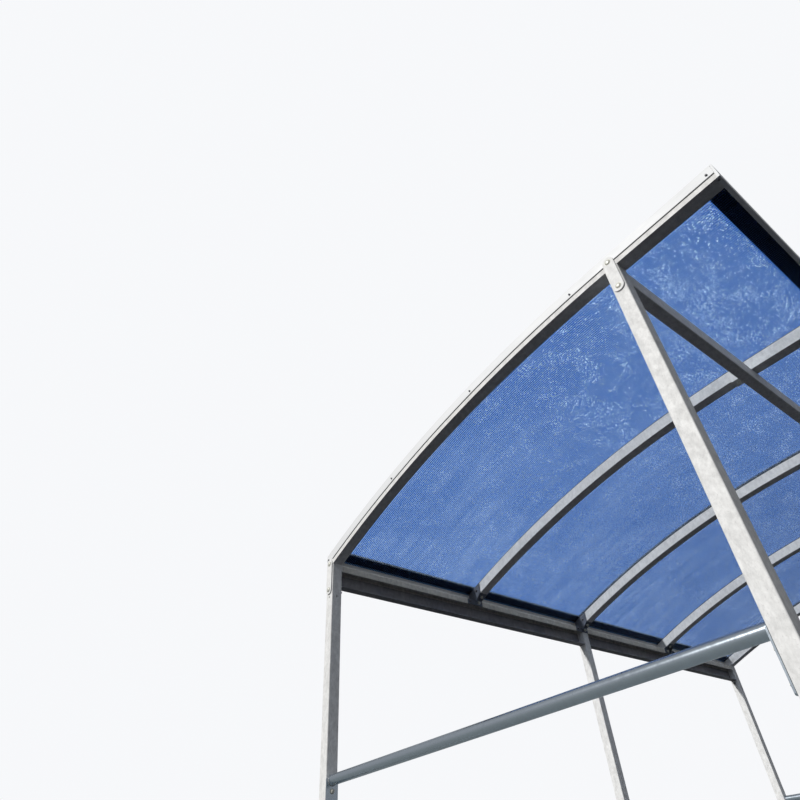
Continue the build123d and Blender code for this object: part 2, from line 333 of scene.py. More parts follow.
def clear_or_milky(tree, milk, glass, haze):
    """A clear colour, covered with a milky one by a share."""
    clear = add_node(tree, "BsdfTransparent", {"Color": glass})
    return mix_shaders(tree, milk, clear, add_node(tree, "BsdfTranslucent", {"Color": haze}))


def shade(colour, amount):
    """A colour made lighter or darker."""
    return tuple(min(1.0, channel * amount) for channel in colour)


def zinc_material(name, colour, contrast, grain, metallic=0.0, roughness=0.60):
    """Hot-dip galvanised steel: faint crystal patches, cloudy mottling and small dark specks."""
    tree, shader = new_material(name, colour, metallic, roughness, Specular_IOR_Level=0.16)
    crystals = pattern(tree, "Voronoi", grain)
    clouds = pattern(tree, "Noise", 42.0, (1, 1, 0.6), Detail=7.0, Roughness=0.72)
    cloud_share = spread(tree, clouds, 0.40, 0.66, 0.0, 0.95)
    specks = noise(tree, 230.0, EVEN, 0.66, 0.74, 0.0, 0.40, Detail=2.0)
    base = blend_colours(
        tree, crystals, shade(colour, 1 - 0.35 * contrast), shade(colour, 1 + 0.25 * contrast))
    base = blend_colours(tree, cloud_share, base, shade(colour, 1 - 1.25 * contrast))
    feed(tree, shader["Base Color"], blend_colours(tree, specks, base, shade(colour, 0.45)))
    sheen = spread(tree, clouds, 0.3, 0.7, 0.8 * roughness, 1.25 * roughness)
    feed(tree, shader["Roughness"], sheen)
    bump = {"Strength": 0.12, "Distance": 0.001, "Height": clouds}
    feed(tree, shader["Normal"], add_node(tree, "Bump", bump))
    return tree, shader


def channel_material(name, colour, lip_foot):
    """Zinc of the eaves channels: bright on the lip, with painted shade below it that darkens the
    recess to a bluish grey.
    """
    tree, shader = zinc_material(name, colour, 0.22, 42.0)
    below = spread(tree, coordinates(tree)["Z"], lip_foot - 0.004, lip_foot, 1.0, 0.0)
    recess_shade_mottle = noise(tree, 11.0, (0.3, 1, 1), 0.3, 0.7, 0.75, 1.0, Detail=5.0)
    bright = shader["Base Color"].links[0].from_socket
    # Painted shade: below the lip the zinc is multiplied by a bluish dark colour, patchy by a
    # noise, for the shade inside the channel.
    recess_shade = blend_colours(tree, 1.0, bright, (0.30, 0.31, 0.40), "MULTIPLY")
    mixed = blend_colours(tree, product(tree, below, recess_shade_mottle), bright, recess_shade)
    feed(tree, shader["Base Color"], mixed)


def flashing_material(name, colour):
    """Bright sheet metal: smooth, with faint smudges along the strip."""
    tree, shader = new_material(name, colour, 0.05, 0.50, Specular_IOR_Level=0.35)
    smudges = pattern(tree, "Noise", 14.0, (1, 0.25, 1), Detail=4.0, Roughness=0.6)
    share = spread(tree, smudges, 0.42, 0.72, 0.0, 0.35)
    feed(tree, shader["Base Color"], blend_colours(tree, share, colour, shade(colour, 0.78)))
    feed(tree, shader["Roughness"], spread(tree, smudges, 0.3, 0.7, 0.44, 0.58))


def clear_sheet_material(name, tint, haze, pitch=None):
    """Clear skin that tints what is behind it blue, as painted sky light seen through the clear
    sheet; film, runs, scratches and drops lie on it.

    Light passes untinted. With a pitch, painted light and dark lines, with milky lines of painted
    light, stand in for how the ribs behind the skin bend and scatter the light.
    """
    tree, _ = new_material(name, haze, 0.0, 0.14, IOR=1.58)
    gloss = tree.nodes["Principled BSDF"].outputs["BSDF"]
    place = coordinates(tree)
    settled = spread(tree, place["Y"], Roof.front_edge_y, Roof.rear_end_y, 0.004, 0.042)
    clouds = noise(tree, 1.7, EVEN, 0.36, 0.66, 0.35, 1.6, Detail=6.0, Roughness=0.62)
    runs = noise(tree, 26.0, (1, 0.09, 0.09), 0.40, 0.70, 0.55, 1.9, Detail=3.0)
    patches = noise(tree, 9.0, (0.7, 1, 1), 0.49, 0.60, 0.0, 1.0, Detail=4.0)
    dashes = noise(tree, 230.0, (1, 0.5, 0.5), 0.64, 0.67, 0.0, 1.0, Detail=1.0)
    drops = noise(tree, 190.0, EVEN, 0.69, 0.71, 0.0, 0.9, Detail=1.0)

    # The flashings keep the sheet's front and rear edges clean.
    edge = 0.010
    front, rear = Roof.front_flange_y, Roof.rear_flange_y
    weathered = product(
        tree, spread(tree, place["Y"], front, front + edge, 0.0, 1.0),
        spread(tree, place["Y"], rear - edge, rear, 1.0, 0.0))
    # Scratches and drops thin out towards the right and the rear.
    scuffed = product(
        tree, spread(tree, place["X"], -1.3, 0.2, 1.0, 0.5),
        spread(tree, place["Y"], -0.8, 0.3, 1.0, 0.3))
    marks = [
        product(tree, weathered, settled, clouds, runs),
        product(tree, weathered, scuffed, patches, dashes),
        product(tree, weathered, scuffed, drops),
    ]
    clean = tint
    if pitch:
        # Painted light and shade: a wave across X darkens and lightens the tint and adds milky
        # lines, for the ribs' refraction and scattering.
        wave = calculate(tree, "SINE", product(tree, place["X"], math.tau / pitch))
        marks.append(product(tree, weathered, spread(tree, wave, 0.1, 0.8, 0.0, 0.11)))
        lines = spread(tree, wave, -0.4, 0.4, 0.0, 1.0)
        clean = blend_colours(tree, lines, shade(tint, 0.55), shade(tint, 1.25))
    milk = marks[0]
    for mark in marks[1:]:
        milk = calculate(tree, "ADD", milk, mark, clamp=True)

    rays = add_node(tree, "LightPath").node.outputs
    falling = calculate(tree, "MAXIMUM", rays["Is Shadow Ray"], rays["Is Diffuse Ray"])
    glass = blend_colours(tree, falling, clean, (0.98, 0.98, 0.985))
    surface = clear_or_milky(tree, milk, glass, haze)
    facing = add_node(tree, "LayerWeight", {"Blend": 0.5}, "Facing")
    shine = spread(tree, calculate(tree, "POWER", facing, 5.0), 0.0, 1.0, 0.01, 0.6)
    output = tree.nodes["Material Output"].inputs["Surface"]
    feed(tree, output, mix_shaders(tree, shine, surface, gloss))


def rib_material(name, haze):
    """Ribs between the skins: nearly clear, a little milky."""
    tree, _ = new_material(name, haze, 0.0, 0.3)
    surface = clear_or_milky(tree, 0.06, (0.95, 0.97, 0.99), haze)
    feed(tree, tree.nodes["Material Output"].inputs["Surface"], surface)
    tree.nodes.remove(tree.nodes["Principled BSDF"])


def floor_material(name, pale):
    """The stage's floor: pale to the camera, and dark to the light that it throws back."""
    tree, shader = new_material(name, pale, 0.0, 0.9)
    rays = add_node(tree, "LightPath").node.outputs
    dark, mirrored = (0.006, 0.008, 0.016), (0.28, 0.31, 0.31)
    lit = blend_colours(tree, rays["Is Glossy Ray"], dark, mirrored)
    feed(tree, shader["Base Color"], blend_colours(tree, rays["Is Camera Ray"], lit, pale))


def material_named(name):
    """The material of that name, made when it is first asked for."""
    scene = bpy.context.scene
    finishes, pitch = scene.shelter_finishes, scene.shelter_roof.rib_pitch
    tint, haze = finishes.sheet_sky_tint, finishes.sheet_haze
    makers = {
        "post_zinc": (zinc_material, finishes.zinc, 0.20, 48.0),
        "arch_zinc": (zinc_material, finishes.arch_zinc, 0.18, 60.0),
        "beam_zinc": (channel_material, finishes.dull_zinc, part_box("eaves_cleat_left")[0].z),
        "plate_zinc": (zinc_material, finishes.zinc, 0.14, 70.0),
        "rail_zinc": (zinc_material, finishes.rail_zinc, 0.05, 30.0, 0.95, 0.22),
        "bright_sheet": (flashing_material, finishes.bright_sheet),
        "clear_lower_skin": (clear_sheet_material, tint, haze, pitch),
        "clear_upper_skin": (clear_sheet_material, tint, haze),
        "clear_rib": (rib_material, haze),
        "black_rubber": (new_material, finishes.rubber, 0.0, 0.62),
        # Painted shade: the cleats and eaves brackets are a bluish near-black, for the shade over
        # the arches' feet.
        "cleat_zinc": (zinc_material, (0.14, 0.155, 0.19), 0.20, 60.0),
        "fastener_zinc": (zinc_material, (0.66, 0.66, 0.60), 0.12, 160.0, 0.25, 0.42),
        "dark_fastener": (zinc_material, (0.16, 0.16, 0.17), 0.12, 160.0, 0.30, 0.48),
        "weld_zinc": (zinc_material, shade(finishes.zinc, 0.88), 0.16, 90.0),
        "pale_floor": (floor_material, (0.80, 0.81, 0.82)),
    }
    if name not in bpy.data.materials:
        maker, *values = makers[name]
        maker(name, *values)
    return bpy.data.materials[name]


# Meshes


def new_object(name, data):
    """A new object in the scene, for a mesh, a lamp or a camera."""
    item = bpy.data.objects.new(name, data)
    bpy.context.scene.collection.objects.link(item)
    return item


def add_piece(mesh, name, record_slot, *finishes):
    """Puts a mesh in the scene with its finishes, on the shelter's one body."""
    for finish in finishes:
        mesh.materials.append(material_named(finish))
    piece = new_object(name, mesh)
    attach(piece, "root")
    return piece


def finished_mesh(shell, name):
    """Turns a mesh under construction into a plain one."""
    mesh = bpy.data.meshes.new(name)
    shell.to_mesh(mesh)
    shell.free()
    return mesh


def band_mesh(bands, name):
    """Closed strips that follow the roof. A band is (x start, x end, lower, upper, y places)."""
    shell = bmesh.new()
    for x_start, x_end, lower, upper, places in bands:
        rings = []
        for y in places:
            low, high = Roof.height(lower, y), Roof.height(upper, y)
            corners = ((x_start, low), (x_end, low), (x_end, high), (x_start, high))
            rings.append([shell.verts.new((x, y, z)) for x, z in corners])
        for ring, following in zip(rings, rings[1:]):
            for corner in range(4):
                beside = (corner + 1) % 4
                shell.faces.new((ring[corner], following[corner], following[beside], ring[beside]))
        shell.faces.new(rings[0])
        shell.faces.new(reversed(rings[-1]))
    bmesh.ops.recalc_face_normals(shell, faces=shell.faces)
    return finished_mesh(shell, name)


def plates_mesh(plates, name):
    """Closed plates with eased edges, each from (corners of one face, way to the other face)."""
    shell = bmesh.new()
    for corners, depth in plates:
        near = [shell.verts.new(corner) for corner in corners]
        far = [shell.verts.new(Vector(corner) + Vector(depth)) for corner in corners]
        shell.faces.new(near)
        shell.faces.new(reversed(far))
        for index in range(len(near)):
            shell.faces.new((near[index - 1], near[index], far[index], far[index - 1]))
    bmesh.ops.recalc_face_normals(shell, faces=shell.faces)
    bmesh.ops.bevel(shell, geom=shell.edges, offset=0.0006, segments=1, affect="EDGES", profile=0.5)
    return finished_mesh(shell, name)


def rounded_loop(half_width, half_height, radius):
    """Corners of a rectangle with rounded corners, about its centre."""
    loop = []
    for quarter, (across, up) in enumerate(((1, 1), (-1, 1), (-1, -1), (1, -1))):
        x, y = across * (half_width - radius), up * (half_height - radius)
        for step in range(4):
            angle = (quarter + step / 3) * math.pi / 2
            loop.append((x + radius * math.cos(angle), y + radius * math.sin(angle)))
    return loop


# Geometry Nodes


class Tree:
    """A geometry node tree under construction, with a named input for each size."""

    def __init__(self, name, sizes):
        self.group = bpy.data.node_groups.new(name, "GeometryNodeTree")
        new_socket = self.group.interface.new_socket
        new_socket("Geometry", in_out="INPUT", socket_type="NodeSocketGeometry")
        for label, size in sizes.items():
            kind = "NodeSocketInt" if isinstance(size, int) else "NodeSocketFloat"
            new_socket(label, in_out="INPUT", socket_type=kind).default_value = size
        new_socket("Material", in_out="INPUT", socket_type="NodeSocketMaterial")
        new_socket("Geometry", in_out="OUTPUT", socket_type="NodeSocketGeometry")
        self.inputs = self.group.nodes.new("NodeGroupInput").outputs

    def geometry(self, kind, inputs=(), **attributes):
        """Adds a geometry node to this tree and returns its first output."""
        return add_node(self.group, f"GeometryNode{kind}", inputs, **attributes)

    def finish(self, geometry):
        """Ends the tree in real geometry with its material."""
        real = self.geometry("RealizeInstances", {"Geometry": geometry})
        painted = self.geometry(
            "SetMaterial", {"Geometry": real, "Material": self.inputs["Material"]})
        feed(self.group, self.group.nodes.new("NodeGroupOutput").inputs["Geometry"], painted)
        return self.group


def grow(mesh, tree, values, name):
    """Runs a tree on a mesh and returns the result as a plain mesh."""
    seed = new_object(name + "_seed", mesh)
    modifier = seed.modifiers.new(tree.name, "NODES")
    modifier.node_group = tree
    for item in tree.interface.items_tree:
        if item.name in values:
            modifier[item.identifier] = values[item.name]
    seed.update_tag()
    bpy.context.view_layer.update()
    view = bpy.context.evaluated_depsgraph_get()
    result = bpy.data.meshes.new_from_object(seed.evaluated_get(view))
    bpy.data.objects.remove(seed)
    if not result.polygons:
        raise RuntimeError(f"{name} came out empty")
    result.name = name
    return result


def rib_tree():
    """Stands thin ribs side by side along X, each swept along the line that comes in."""
    tree = Tree("sheet_ribs", {
        "First": 0.0, "Pitch": 0.01, "Count": 10, "Thickness": 0.0006, "Height": 0.008})
    group, sizes = tree.group, tree.inputs
    line = tree.geometry("MeshToCurve", {"Mesh": sizes["Geometry"]})
    upright = tree.geometry("SetCurveNormal", {"Curve": line}, mode="Z_UP")
    profile = tree.geometry("CurvePrimitiveQuadrilateral", {
        "Width": sizes["Thickness"], "Height": sizes["Height"]})
    rib = tree.geometry("CurveToMesh", {
        "Curve": upright, "Profile Curve": profile, "Fill Caps": True})
    start = add_node(group, "CombineXYZ", {"X": sizes["First"]})
    step = add_node(group, "CombineXYZ", {"X": sizes["Pitch"]})
    row = tree.geometry("MeshLine", {
        "Count": sizes["Count"], "Start Location": start, "Offset": step})
    return tree.finish(tree.geometry("InstanceOnPoints", {"Points": row, "Instance": rib}))


def fastener_tree(name, domed):
    """Sets a washer, a domed or hexagonal head and a threaded end on each point, along its axis."""
    tree = Tree(name, {**FASTENER_SIZES, "Seed": 3})
    group, sizes = tree.group, tree.inputs

    def raised(mesh, height, stretch=1.0):
        """Moves a mesh along the axis, stretched along it if need be."""
        scale = {"X": 1.0, "Y": 1.0, "Z": stretch}
        return tree.geometry("Transform", {
            "Geometry": mesh,
            "Translation": add_node(group, "CombineXYZ", {"Z": height}),
            "Scale": add_node(group, "CombineXYZ", scale)})

    washer_radius, thickness, head_radius, head_height, end_radius, end_length = (
        sizes[label] for label in FASTENER_SIZES)
    washer = tree.geometry("MeshCylinder", {
        "Vertices": 24, "Radius": washer_radius, "Depth": thickness})
    meshes = [raised(washer, product(group, thickness, 0.5))]
    if domed:
        ball = tree.geometry("MeshUVSphere", {
            "Segments": 24, "Rings": 12, "Radius": head_radius})
        smooth = tree.geometry("SetShadeSmooth", {"Geometry": ball})
        flatness = calculate(group, "DIVIDE", head_height, head_radius)
        meshes.append(raised(smooth, thickness, flatness))
    else:
        prism = tree.geometry("MeshCone", {
            "Vertices": 6, "Radius Top": product(group, head_radius, 0.94),
            "Radius Bottom": head_radius, "Depth": head_height})
        meshes.append(raised(prism, thickness))
        end = tree.geometry("MeshCylinder", {
            "Vertices": 12, "Radius": end_radius, "Depth": end_length})
        head_top = calculate(group, "ADD", thickness, head_height)
        half_end = product(group, end_length, 0.5)
        meshes.append(raised(end, calculate(group, "ADD", head_top, half_end)))
    whole = tree.geometry("JoinGeometry", {"Geometry": meshes})
    axis = tree.geometry("InputNamedAttribute", {"Name": "axis"}, data_type="FLOAT_VECTOR")
    turn = add_node(group, "FunctionNodeAlignRotationToVector", {"Vector": axis}, axis="Z")
    angle = add_node(
        group, "FunctionNodeRandomValue", {3: math.tau, "Seed": sizes["Seed"]}, 1,
        data_type="FLOAT")
    around = add_node(group, "CombineXYZ", {"Z": angle})
    spin = add_node(group, "FunctionNodeEulerToRotation", {"Euler": around})
    spun = add_node(
        group, "FunctionNodeRotateRotation", {"Rotation": turn, "Rotate By": spin},
        rotation_space="LOCAL")
    return tree.finish(tree.geometry("InstanceOnPoints", {
        "Points": sizes["Geometry"], "Instance": whole, "Rotation": spun}))


def weld_tree():
    """Lays a rippled bead along the lines that come in."""
    tree = Tree("weld_beads", {"Radius": 0.003, "Ripple": 0.005})
    group, sizes = tree.group, tree.inputs
    line = tree.geometry("MeshToCurve", {"Mesh": sizes["Geometry"]})
    spaced = tree.geometry(
        "ResampleCurve", {"Curve": line, "Length": sizes["Ripple"]}, mode="LENGTH")
    odd = calculate(group, "MODULO", tree.geometry("InputIndex"), 2.0)
    swell = calculate(group, "ADD", product(group, odd, 0.25), 0.82)
    profile = tree.geometry("CurvePrimitiveCircle", {"Resolution": 8, "Radius": 1.0})
    bead = tree.geometry("CurveToMesh", {
        "Curve": spaced, "Profile Curve": profile, "Fill Caps": True,
        "Scale": product(group, swell, sizes["Radius"])})
    return tree.finish(tree.geometry("SetShadeSmooth", {"Geometry": bead}))


def tree_named(name):
    """The node tree of that name, made when it is first asked for."""
    makers = {
        "sheet_ribs": rib_tree,
        "hexagon_bolts": lambda: fastener_tree(name, domed=False),
        "domed_bolts": lambda: fastener_tree(name, domed=True),
        "weld_beads": weld_tree,
    }
    return bpy.data.node_groups.get(name) or makers[name]()


def points_mesh(places, name):
    """Points for fasteners, each with its axis."""
    mesh = bpy.data.meshes.new(name)
    mesh.from_pydata([point for point, _ in places], [], [])
    axes = mesh.attributes.new("axis", "FLOAT_VECTOR", "POINT")
    for index, (_, axis) in enumerate(places):
        axes.data[index].vector = axis
    return mesh


def lines_mesh(lines, name):
    """Lines for welds. A line is (points, whether it closes)."""
    corners, edges = [], []
    for points, closes in lines:
        first = len(corners)
        corners += points
        edges += [(first + step, first + step + 1) for step in range(len(points) - 1)]
        if closes:
            edges.append((first + len(points) - 1, first))
    mesh = bpy.data.meshes.new(name)
    mesh.from_pydata(corners, edges, [])
    return mesh


def add_fasteners(kind, places, name, finish, washer, head, end=(0.004, 0.008), seed=3):
    """Makes one piece out of all the fasteners of a kind. A place is (point, outward axis).

    The washer is (radius, thickness), the head (radius, height), the end (radius, length).
    """
    mesh = grow(points_mesh(places, name), tree_named(kind), {
        **dict(zip(FASTENER_SIZES, (*washer, *head, *end))),
        "Seed": seed, "Material": material_named(finish)}, name)
    return add_piece(mesh, name, "plate_steel")


# Operators


class SHELTER_OT_finish_frame(bpy.types.Operator):
    """Give the posts, arches, beams, plates, rails and flashings their galvanised finishes"""

    bl_idname = "shelter.finish_frame"
    bl_label = "Finish Frame"

    def execute(self, context):
        for part in frame["record"]["subparts"]:
            node, finish = part["node"], FINISHES[part["material_slot"]]
            # The eaves cleats get the dark cleat colour, which paints the shade at the arches'
            # feet.
            if node.startswith("eaves_cleat"):
                finish = "cleat_zinc"
            elif node.startswith("front_purlin"):
                finish = "arch_zinc"
            piece = frame["nodes"][node]
            if not piece.material_slots:
                piece.data.materials.append(None)
            for place in piece.material_slots:
                place.material = material_named(finish)
        return {"FINISHED"}


class SHELTER_OT_twin_wall_sheets(bpy.types.Operator):
    """Make the two clear roof sheets: an upper and a lower skin with ribs between them"""

    bl_idname = "shelter.twin_wall_sheets"
    bl_label = "Twin-Wall Sheets"

    def execute(self, context):
        roof = context.scene.shelter_roof
        skin, pitch = roof.skin_thickness, roof.rib_pitch
        rib_clearance = 0.0001
        under, top = Roof.gasket_top, Roof.sheet_top
        for side in SIDES:
            node, name = f"roof_sheet_{side}", f"twin_wall_sheet_{side}"
            low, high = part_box(node)
            places = Roof.stations(low.y, high.y, roof.curve_steps)
            line = [(0, y, Roof.height((under + top) / 2, y)) for y in places]
            count = int((high.x - low.x - roof.rib_thickness) / pitch) + 1
            ribs = grow(lines_mesh([(line, False)], node), tree_named("sheet_ribs"), {
                "First": low.x + (high.x - low.x - (count - 1) * pitch) / 2,
                "Pitch": pitch, "Count": count, "Thickness": roof.rib_thickness,
                "Height": top - under - 2 * skin - 2 * rib_clearance,
                "Material": material_named("clear_rib"),
            }, node + "_ribs")
            lower = band_mesh([(low.x, high.x, under, under + skin, places)], node + "_lower_skin")
            upper = band_mesh([(low.x, high.x, top - skin, top, places)], node + "_upper_skin")
            joined = bmesh.new()
            for index, layer in enumerate((ribs, lower, upper)):
                faces_before = len(joined.faces)
                joined.from_mesh(layer)
                joined.faces.ensure_lookup_table()
                for face in joined.faces[faces_before:]:
                    face.material_index = index
            finishes = ("clear_rib", "clear_lower_skin", "clear_upper_skin")
            piece = add_piece(finished_mesh(joined, name), name, "clear_sheet", *finishes)
            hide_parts(node)
        return {"FINISHED"}


class SHELTER_OT_gable_seals(bpy.types.Operator):
    """Make the black strip under each gable flashing, cut at the joint plates: a seal that also
    paints the shadow gap under the flashing's leg
    """

    bl_idname = "shelter.gable_seals"
    bl_label = "Gable Seals"

    def execute(self, context):
        roof = context.scene.shelter_roof
        clearance = 0.001
        start = Roof.front_edge_y + 0.010
        for side, sign in SIDES.items():
            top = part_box(f"gable_flashing_{side}")[0].z - Roof.height(0, Roof.rear_end_y)
            front_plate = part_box(f"front_joint_plate_{side}")
            rear_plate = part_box(f"rear_joint_plate_{side}")
            inner, outer = sign * Roof.gable_x, sign * (Roof.gable_x + roof.seal_and_shadow_thickness)
            stretches = (
                (start, front_plate[0].y - clearance),
                (front_plate[1].y + clearance, rear_plate[0].y - clearance))
            bands = [
                (inner, outer, top - roof.seal_and_shadow_height, top,
                 Roof.stations(near, far, roof.curve_steps)) for near, far in stretches]
            name = f"gable_seal_and_shadow_{side}"
            add_piece(band_mesh(bands, name), name, "gasket_rubber", "black_rubber")
        return {"FINISHED"}


class SHELTER_OT_eaves_brackets(bpy.types.Operator):
    """Make the small brackets that tie the feet of the inner arches to the eaves channels; their
    dark plates also paint the shade over the arches' feet
    """

    bl_idname = "shelter.eaves_brackets"
    bl_label = "Eaves Brackets"

    def execute(self, context):
        roof, sizes = context.scene.shelter_roof, context.scene.shelter_fasteners
        thickness, reach = roof.bracket_thickness, roof.bracket_reach
        lip_margin = 0.004
        bolt_inset = 0.014
        plates, bolts = [], []
        channel_low, channel_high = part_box("eaves_channel_left")
        front_y, lip_top = channel_low.y, channel_high.z
        leg_y, rear_y = front_y - reach, front_y + 0.7 * reach
        side_y, arch_side = front_y - reach / 2, -0.05 * Roof.tube
        for arch, (cleat, outward) in BRACKETS.items():
            lip_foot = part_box(cleat)[0].z
            face_x = middle_of(arch).x + outward * Roof.tube / 2
            end_x = face_x + outward * reach
            flat_top = lip_top - lip_margin
            flat = [(x, front_y, z) for x, z in (
                (face_x, lip_foot), (end_x, lip_foot), (end_x, flat_top), (face_x, flat_top))]
            plates.append((flat, (0, -thickness, 0)))
            leg_top = lip_top + lip_margin / 2
            # Painted shade: this dark leg covers the arch's side face up to near its top, where the
            # shade over the arch's foot falls.
            leg = [(face_x, y, z) for y, z in (
                (front_y, lip_foot), (leg_y, Roof.height(-Roof.tube, leg_y)),
                (leg_y, Roof.height(arch_side, leg_y)), (rear_y, Roof.height(arch_side, rear_y)),
                (rear_y, leg_top), (front_y, leg_top))]
            plates.append((leg, (outward * thickness, 0, 0)))
            bolt_x, bolt_z = end_x - outward * bolt_inset, (lip_foot + lip_top) / 2
            bolts.append(((bolt_x, front_y - thickness, bolt_z), (0, -1, 0)))
            side_z = Roof.height(-0.5 * Roof.tube, side_y)
            bolts.append(((face_x + outward * thickness, side_y, side_z), (outward, 0, 0)))
        mesh = plates_mesh(plates, "eaves_brackets")
        add_piece(mesh, "eaves_brackets", "plate_steel", "cleat_zinc")
        # These bolts are dark for painted shade over the arches' feet.
        add_fasteners(
            "hexagon_bolts", bolts, "eaves_bracket_bolts", "dark_fastener",
            washer=(sizes.screw_washer_radius, sizes.washer_thickness),
            head=(0.85 * sizes.nut_radius, 0.7 * sizes.nut_height),
            end=(0.8 * sizes.bolt_radius, 0.004), seed=5)
        return {"FINISHED"}


class SHELTER_OT_joint_bolts(bpy.types.Operator):
    """Make the bolts of the joint plates: domed heads outside, nuts and threaded ends inside"""

    bl_idname = "shelter.joint_bolts"
    bl_label = "Joint Bolts"

    def execute(self, context):
        sizes = context.scene.shelter_fasteners
        heads, nuts = [], []
        for side, sign in SIDES.items():
            for row in ROWS:
                low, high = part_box(f"{row}_joint_plate_{side}")
                centre = (low + high) / 2
                offset = (high.z - low.z) / 2 - (high.y - low.y) / 2
                outer_x = max(abs(low.x), abs(high.x))
                for z in (centre.z - offset, centre.z + offset):
                    heads.append(((sign * outer_x, centre.y, z), (sign, 0, 0)))
                    nuts.append(((sign * (Roof.gable_x - Roof.tube), centre.y, z), (-sign, 0, 0)))
        add_fasteners(
            "domed_bolts", heads, "joint_bolt_heads", "fastener_zinc",
            washer=(sizes.dome_washer_radius, 0.6 * sizes.washer_thickness),
            head=(sizes.dome_radius, sizes.dome_height))
        add_fasteners(
            "hexagon_bolts", nuts, "joint_bolt_nuts", "dark_fastener",
            washer=(1.1 * sizes.nut_radius, sizes.washer_thickness),
            head=(sizes.nut_radius, sizes.nut_height),
            end=(sizes.bolt_radius, 0.008), seed=11)
        return {"FINISHED"}


class SHELTER_OT_flashing_screws(bpy.types.Operator):
    """Make the screws along the gable flashings and those under the front lip"""

    bl_idname = "shelter.flashing_screws"
    bl_label = "Flashing Screws"

    def execute(self, context):
        sizes = context.scene.shelter_fasteners
        screws = []
        end_margin, head_height = 0.015, 0.0042
        for side, sign in SIDES.items():
            low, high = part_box(f"gable_flashing_{side}")
            outer_x = max(abs(low.x), abs(high.x))
            for step in range(-2, 3):
                y = min(step * sizes.screw_spacing, Roof.rear_end_y - end_margin)
                z = Roof.height(Roof.flashing_top, y) - sizes.screw_drop
                screws.append(((sign * outer_x, y, z), (sign, 0, 0)))
        lip_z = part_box("front_edge_flashing")[0].z
        edge = Roof.gable_x - sizes.lip_screw_inset
        for arch in ARCHES:
            x = middle_of(arch).x
            if arch.startswith("gable"):
                x = math.copysign(edge, x)
            screws.append(((x, Roof.front_edge_y + sizes.lip_screw_inset, lip_z), (0, 0, -1)))
        add_fasteners(
            "hexagon_bolts", screws, "flashing_screws", "dark_fastener",
            washer=(0.7 * sizes.screw_washer_radius, 0.5 * sizes.washer_thickness),
            head=(sizes.screw_radius, head_height),
            end=(0.5 * sizes.screw_radius, sizes.screw_end), seed=17)
        return {"FINISHED"}


class SHELTER_OT_roof_screws(bpy.types.Operator):
    """Make the screws that hold the sheets and the strips down on the arches"""

    bl_idname = "shelter.roof_screws"
    bl_label = "Roof Screws"

    def execute(self, context):
        sizes = context.scene.shelter_fasteners
        screws = []
        ends = (
            (Roof.front_edge_y + Roof.front_flange_y) / 2,
            (Roof.rear_flange_y + Roof.rear_end_y) / 2,
        )
        for arch in ARCHES[1:-1]:
            x = middle_of(arch).x
            layer = Roof.flashing_top if arch == "middle_arch" else Roof.sheet_top
            rows = [(y, Roof.flashing_top) for y in ends]
            rows += [(step * sizes.screw_spacing, layer) for step in range(-1, 2)]
            for y, top in rows:
                screws.append(((x, y, Roof.height(top, y)), Roof.normal(y)))
        add_fasteners(
            "hexagon_bolts", screws, "roof_screws", "fastener_zinc",
            washer=(1.25 * sizes.screw_washer_radius, sizes.washer_thickness),
            head=(sizes.screw_radius, 0.0045),
            end=(0.5 * sizes.screw_radius, sizes.screw_end), seed=23)
        return {"FINISHED"}


class SHELTER_OT_cleat_bolts(bpy.types.Operator):
    """Make the bolts of the cleats under the arches and of the rails' end plates"""

    bl_idname = "shelter.cleat_bolts"
    bl_label = "Cleat and Rail Bolts"

    def execute(self, context):
        sizes = context.scene.shelter_fasteners
        thickness = sizes.plate_thickness
        bolts = []
        lip_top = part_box("eaves_channel_left")[1].z
        for name in POST_PLACES:
            low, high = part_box(f"eaves_cleat_{name}")
            x = (low.x + high.x) / 2
            y = low.y + 0.4 * (high.y - low.y)
            bolts += [
                ((x, high.y - thickness, (low.z + lip_top) / 2), (0, -1, 0)),
                ((x, y, Roof.height(-Roof.tube - thickness, y)), -Roof.normal(y))]
            low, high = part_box(f"purlin_cleat_{name}")
            bolts += [
                ((x, low.y + thickness, low.z + 0.4 * (high.z - low.z)), (0, 1, 0)),
                ((x, low.y + 0.65 * (high.y - low.y), high.z - thickness), (0, 0, -1))]
        for side in SIDES:
            low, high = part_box(f"side_rail_{side}")
            x = (low.x + high.x) / 2
            for y, way in ((low.y + thickness, 1), (high.y - thickness, -1)):
                for rise in (sizes.rail_bolt_edge, sizes.rail_bolt_edge + sizes.rail_bolt_spacing):
                    bolts.append(((x, y, low.z + rise), (0, way, 0)))
        add_fasteners(
            "hexagon_bolts", bolts, "cleat_and_rail_bolts", "fastener_zinc",
            washer=(1.15 * sizes.nut_radius, sizes.washer_thickness),
            head=(sizes.nut_radius, 0.8 * sizes.nut_height),
            end=(0.9 * sizes.bolt_radius, 0.003), seed=29)
        return {"FINISHED"}


